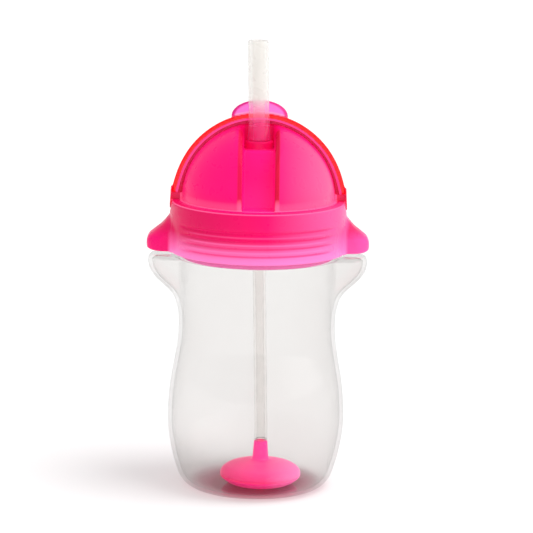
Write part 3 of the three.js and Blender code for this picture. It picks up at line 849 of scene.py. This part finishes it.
def pink_cover():
    """Translucent pink, from the tint, clearness and painted glow that paint_cover stores."""
    m, tree, output = material("pink_cover_plastic")
    _, noise, normal = fine_bump(tree, 120.0, 0.04)
    tint = node(tree, "ShaderNodeAttribute", attribute_name="tint").outputs["Color"]
    clear = node(tree, "ShaderNodeAttribute", attribute_name="clear").outputs["Fac"]
    glow = node(tree, "ShaderNodeAttribute", attribute_name="glow").outputs["Fac"]
    surface(tree, output, {
        "Base Color": tint, "Roughness": uneven(tree, noise, 0.06, 0.12), "Normal": normal,
        "IOR": 1.49, "Specular IOR Level": 0.35, "Transmission Weight": clear,
        "Emission Color": tint, "Emission Strength": maths(tree, "MULTIPLY", glow, 0.3)})
    return m


def silicone(name, milk, lid_pink_light, passed):
    """Milky silicone without refraction.

    milk is how much of each wall is white, lid_pink_light is how much painted pink light from the
    lid shows on its foot (0 or 1), and passed is the tint of the light that goes through.
    """
    m, tree, output = material(name)
    where, noise, normal = fine_bump(tree, 250.0, 0.015, 0.00003, 1.0)
    split = node(tree, "ShaderNodeSeparateXYZ", {"Vector": where.outputs["Object"]})
    rough = uneven(tree, noise, 0.22, 0.32)
    high = map_range(tree, split.outputs["Z"], 0.158, 0.1675)
    low = maths(tree, "MULTIPLY", maths(tree, "SUBTRACT", 1.0, high), lid_pink_light)
    # Painted pink light from the lid on the foot: in its colour, in the light let through and in
    # its glow.
    white = mixed(tree, low, (0.84, 0.82, 0.79, 1.0), (1.0, 0.05, 0.32, 1.0))
    through = mixed(tree, low, (*passed, 1.0), (1.0, 0.95, 0.98, 1.0))
    clear = node(tree, "ShaderNodeBsdfTransparent", {"Color": through})
    # The emission is a painted glow.
    body = node(tree, "ShaderNodeBsdfPrincipled", {
        "Base Color": white, "Roughness": rough, "Normal": normal, "IOR": 1.41,
        "Emission Color": white, "Emission Strength": 0.12})
    kept = maths(tree, "SUBTRACT", 1.0, maths(tree, "MULTIPLY", low, 0.45))
    share = maths(tree, "MULTIPLY", kept, milk)
    skin = node(tree, "ShaderNodeMixShader", {
        0: share, 1: clear.outputs["BSDF"], 2: body.outputs["BSDF"]})
    gloss, edge = sheen(tree, normal, rough, 0.015, 0.5, 3.0)
    both = node(tree, "ShaderNodeMixShader", {0: edge, 1: skin.outputs["Shader"], 2: gloss})
    tree.links.new(both.outputs["Shader"], output.inputs["Surface"])
    return m


def pink_weight():
    """The weight's pink, with painted light on top and at the right and painted shade at the left
    and below; its emission is a painted glow.
    """
    m, tree, output = material("pink_weight_plastic")
    where, noise, normal = fine_bump(tree, 500.0, 0.012)
    split = node(tree, "ShaderNodeSeparateXYZ", {"Vector": where.outputs["Object"]})
    x, z = split.outputs["X"], split.outputs["Z"]
    # Painted light on top, painted shade below.
    tint = mixed(tree, band(tree, z, 0.0056, 0.0095),
                 (0.95, 0.008, 0.17, 1.0), (0.97, 0.06, 0.28, 1.0))
    for colour, share in (
            ((1.0, 0.03, 0.31), band(tree, z, 0.0115, 0.013)),              # post
            ((0.99, 0.006, 0.24), band(tree, z, 0.0055, 0.0053)),           # lower shell
            # painted light at the right
            ((1.0, 0.26, 0.6), times(tree, band(tree, x, 0.004, 0.02), 0.8)),
            # painted shade at the left
            ((0.72, 0.015, 0.14), times(tree, band(tree, x, 0.0, -0.015), 0.6))):
        tint = tinted(tree, tint, share, colour)
    # The emission is a painted glow.
    surface(tree, output, {
        "Base Color": tint, "Roughness": uneven(tree, noise, 0.28, 0.34), "Normal": normal,
        "IOR": 1.49, "Specular IOR Level": 0.3, "Emission Color": tint, "Emission Strength": 0.35})
    return m


def steel():
    m, tree, output = material("steel")
    _, noise, normal = fine_bump(tree, 1500.0, 0.2)
    surface(tree, output, {
        "Base Color": (0.6, 0.61, 0.63, 1.0), "Metallic": 1.0,
        "Roughness": uneven(tree, noise, 0.3, 0.45), "Normal": normal})
    return m


def floor_paint():
    m, tree, output = material("floor_paint")
    _, _, normal = fine_bump(tree, 40.0, 0.02)
    surface(tree, output, {
        "Base Color": (0.95, 0.95, 0.95, 1.0), "Roughness": 0.9, "Normal": normal,
        "Specular IOR Level": 0.0})
    return m


# ---- build ----------------------------------------------------------------
CLEAR, LID_PINK, COVER_PINK = clear_plastic(), pink_lid(), pink_cover()
SILICONE = silicone("frosted_silicone", 0.34, 1.0, (0.94, 0.937, 0.925))
TUBE = silicone("soft_tube", 0.03, 0.0, (0.99, 0.982, 0.977))
WEIGHT_PINK, STEEL = pink_weight(), steel()


def place(obj, look, slot, body, *nodes):
    """A piece that rides one body and stands for the CAD nodes named."""
    obj.data.materials.append(look)
    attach(obj, body)
    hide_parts(*nodes)


def place_soft(obj, look, slot, bodies, low, high, *nodes):
    """A soft piece, with its transform baked into its mesh, that stands for the CAD nodes named.
    The bodies and the heights low and high are not used.
    """
    obj.data.materials.append(look)
    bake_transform(obj)
    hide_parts(*nodes)


STEP = 0.45    # cell of the field meshes
place(make_cup(), CLEAR, "clear_body", "cup", "cup")
lid = net("lid_moulding", lid_field, (-48.5, -39.5, 98.5), (48.5, 39.5, 159), STEP)
place(lid, LID_PINK, "pink_lid", "lid", "lid")
cover = net("flip_cover_shell", cover_field, (-40, -6.5, 117), (40, 39, 169), STEP)
place(cover, COVER_PINK, "pink_cover", "cover", "flip_cover")
paint_cover(cover.data)

seal = revolve("seal_ring", rounded(
    [[33.1, 120.1], [35.5, 120.1], [35.5, 121.1], [33.1, 121.1]], 0.3))
place(seal, SILICONE, "silicone", "seal", "lid_seal")

# Mouthpiece: tail, flange under the boss, stub with its flare, then the drinking end.
MOUTH_BORE = 2.5
mouth_low = tube_outline([
    [4.1, 132], [4.1, 134], [4.1, 140.2], [5.8, 140.9], [5.9, 141.4], [5.9, 142.9], [5.7, 143.3],
    [4.15, 143.6], [4.1, 144.2], [4.1, 147], [4.12, 149.7], [4.6, 150.0], [4.98, 150.35],
    [4.95, 151], [4.68, 152.6], [4.47, 154.4], [4.38, MID_NECK]], MOUTH_BORE)
mouth_high = tube_outline([
    [4.38, MID_NECK], [4.35, 158.6], [4.35, 166], [4.35, 178], [4.35, 190.6], [4.25, 191.35],
    [4.0, 191.7], [3.6, 191.8]], MOUTH_BORE, round_end=True)
place_soft(revolve("mouthpiece_lower", mouth_low, STRAW_Y, 96), SILICONE, "silicone",
           ("lid", "straw_neck"), *NECK_BEND, "straw_base", "straw_neck")
place_soft(revolve("mouthpiece_upper", mouth_high, STRAW_Y, 96), SILICONE, "silicone",
           ("straw_neck", "straw_tip"), *TIP_BEND, "straw_tip")


def tube_part(name, low, high, bodies, start, end, *nodes):
    """A length of the tube from low to high. The bodies and the heights start and end are not used.
    """
    outline = tube_outline([[TUBE_R, low], [TUBE_R, (low + high) / 2], [TUBE_R, high]], TUBE_BORE)
    place_soft(revolve(name, outline, STRAW_Y, 72), TUBE, "silicone", bodies, start, end, *nodes)


tube_part("tube_top", 128.9, 131.7, ("lid", "tube_upper"), 131.7, 129.4, "tube_upper")
tube_part("tube_bend", 121.0, 128.9, ("tube_upper", "tube"), 128.7, 123.3, "tube_main")
tube_part("tube_long", 20.9, 121.0, ("tube", "tube_lower"), 28.8, 23.4, "tube_main")
tube_part("tube_foot", 20.35, 20.9, ("tube_lower", "weight"), 20.85, 20.4, "tube_lower")

place(revolve("weight_upper_shell", lens_top(), STRAW_Y, 144), WEIGHT_PINK, "pink_weight", "weight",
      "weight_top")
place(revolve("weight_lower_shell", lens_bottom(), STRAW_Y, 144), WEIGHT_PINK, "pink_weight",
      "weight", "weight_bottom")
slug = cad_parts["weight_slug"]
slug.data.materials.clear()
slug.data.materials.append(STEEL)

# ---- floor, light, camera -------------------------------------------------
FLOOR_DROP = 0.00015                  # keeps the floor clear of the cup's flat bottom
BACKDROP = 1.12                       # what the camera sees round the object
FILL = 0.77                           # what lights its surfaces
ROOM, ROOM_AHEAD, WINDOW = 0.6, 0.15, 1.7  # what is mirrored in them
AHEAD, WINDOW_SIDE = (0.0, -0.94, 0.34), (0.87, -0.38, 0.31)
LENS, ROLL = 178.0, math.radians(0.85)
EYE, TARGET = (0.0038, -1.1, 0.307), (0.0038, 0.0, 0.095)

bpy.ops.mesh.primitive_plane_add(size=12.0, location=(0, 0, -FLOOR_DROP))
ground = bpy.context.object
ground.name = "floor"
ground.data.materials.append(floor_paint())

world = bpy.data.worlds.new("studio")
bpy.context.scene.world = world
world.use_nodes = True
sky = world.node_tree
seen = sky.nodes["Background"]
seen.inputs["Color"].default_value = (1.0, 1.0, 1.0, 1.0)
seen.inputs["Strength"].default_value = BACKDROP
toward = node(sky, "ShaderNodeTexCoord").outputs["Generated"]
ahead = node(sky, "ShaderNodeVectorMath", {0: toward, 1: AHEAD}, operation="DOT_PRODUCT")
right = node(sky, "ShaderNodeVectorMath", {0: toward, 1: WINDOW_SIDE}, operation="DOT_PRODUCT")
dark = map_range(sky, ahead.outputs["Value"], 0.3, 0.7, ROOM, ROOM_AHEAD)
bright = map_range(sky, right.outputs["Value"], 0.55, 0.95, 0.0, WINDOW)
room = node(sky, "ShaderNodeBackground", {
    "Color": (1.0, 0.99, 0.98, 1.0), "Strength": maths(sky, "ADD", dark, bright)})
fill = node(sky, "ShaderNodeBackground", {"Color": (1.0, 1.0, 1.0, 1.0), "Strength": FILL})
rays = node(sky, "ShaderNodeLightPath")
lit = node(sky, "ShaderNodeMixShader", {
    0: rays.outputs["Is Diffuse Ray"], 1: room.outputs["Background"],
    2: fill.outputs["Background"]})
both = node(sky, "ShaderNodeMixShader", {
    0: maths(sky, "MAXIMUM", rays.outputs["Is Camera Ray"], rays.outputs["Is Transmission Ray"]),
    1: lit.outputs["Shader"], 2: seen.outputs["Background"]})
sky.links.new(both.outputs["Shader"], sky.nodes["World Output"].inputs["Surface"])

key_data = bpy.data.lights.new("key", "SUN")
key_data.energy = 1.3
key_data.angle = math.radians(38)
key = bpy.data.objects.new("key", key_data)
bpy.context.scene.collection.objects.link(key)
key.rotation_euler = Vector((-0.45, 0.15, -1.0)).to_track_quat("-Z", "Y").to_euler()
key.visible_glossy = False


def softbox(name, place_at, aim, size, power):
    """White lamp that lights the object without showing in its gloss."""
    data = bpy.data.lights.new(name, "AREA")
    data.shape = "RECTANGLE"
    data.size, data.size_y = size
    data.energy = power
    lamp = bpy.data.objects.new(name, data)
    bpy.context.scene.collection.objects.link(lamp)
    lamp.location = place_at
    lamp.visible_glossy = False
    lamp.rotation_euler = (Vector(aim) - Vector(place_at)).to_track_quat("-Z", "Y").to_euler()


softbox("fill_right", (1.0, -0.45, 0.5), (0, 0, 0.1), (1.0, 0.9), 1.5)
softbox("fill_left", (-0.75, -0.95, 0.75), (0, 0, 0.1), (0.5, 0.5), 0.8)

bpy.context.scene.view_settings.view_transform = "Standard"
bpy.context.scene.view_settings.look = "None"

camera_data = bpy.data.cameras.new("camera")
camera_data.sensor_width = 36.0
camera_data.lens = LENS
camera_data.clip_end = 60.0
camera = bpy.data.objects.new("camera", camera_data)
bpy.context.scene.collection.objects.link(camera)
eye, target = Vector(EYE), Vector(TARGET)
turn = (target - eye).to_track_quat("-Z", "Y").to_matrix().to_4x4()
camera.matrix_world = Matrix.Translation(eye) @ turn @ Matrix.Rotation(ROLL, 4, "Z")
bpy.context.scene.camera = camera
